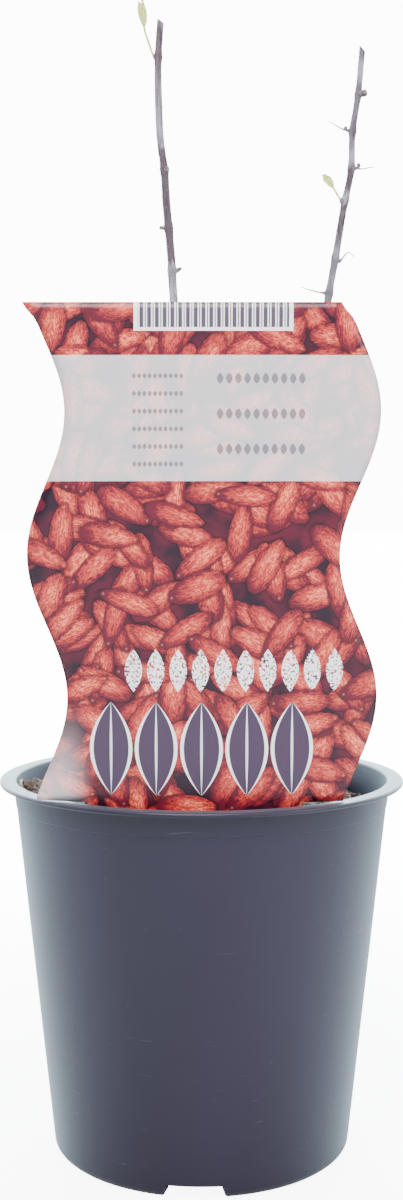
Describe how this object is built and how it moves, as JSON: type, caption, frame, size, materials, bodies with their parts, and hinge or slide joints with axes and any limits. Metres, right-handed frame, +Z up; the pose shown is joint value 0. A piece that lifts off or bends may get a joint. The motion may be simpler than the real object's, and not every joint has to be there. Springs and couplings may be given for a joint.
{
  "type": "potted goji berry plant",
  "caption": "Young goji berry plant with bare thorny canes in a filled nursery pot, with a wavy picture card pushed into the soil in front of them.",
  "frame": {"origin": "middle of the pot's flat underside, where it stands", "axes": "+Z up along the pot's axis, -Y towards the printed side of the card, +X to the right when looking at that side"},
  "size_m": [0.13, 0.13, 0.3702],
  "materials": {
    "pot_plastic": "dark slate blue plastic with a soft sheen and a pale worn flange",
    "peat": "loose dark peat with pale fibres",
    "printed_card": "coated card with a print on its front, and a white back and cut edge",
    "bark": "dry grey-lilac bark with purple-brown patches and fine ridges",
    "thorn_wood": "dry grey-lilac young wood",
    "young_leaf": "soft pale yellow-green young leaf"
  },
  "bodies": {
    "root": {"pot": "pot_plastic", "soil": "peat", "label_card": "printed_card", "stem": "bark", "cane_left": "bark", "cane_right": "bark", "stub_left_low": "thorn_wood", "stub_left_high": "thorn_wood", "cut_stub_right": "thorn_wood", "thorn_right_low": "thorn_wood", "thorn_right_curled": "thorn_wood", "thorn_right_middle": "thorn_wood", "thorn_right_high": "thorn_wood", "cane_left_thorn_1": "thorn_wood", "cane_left_thorn_2": "thorn_wood", "cane_left_thorn_3": "thorn_wood", "cane_left_thorn_4": "thorn_wood", "cane_left_thorn_5": "thorn_wood", "cane_right_thorn_1": "thorn_wood", "cane_right_thorn_2": "thorn_wood", "cane_right_thorn_3": "thorn_wood", "cane_right_thorn_4": "thorn_wood", "cane_right_thorn_5": "thorn_wood", "sprout_left": "young_leaf", "sprout_right": "young_leaf"}
  },
  "joints": []
}
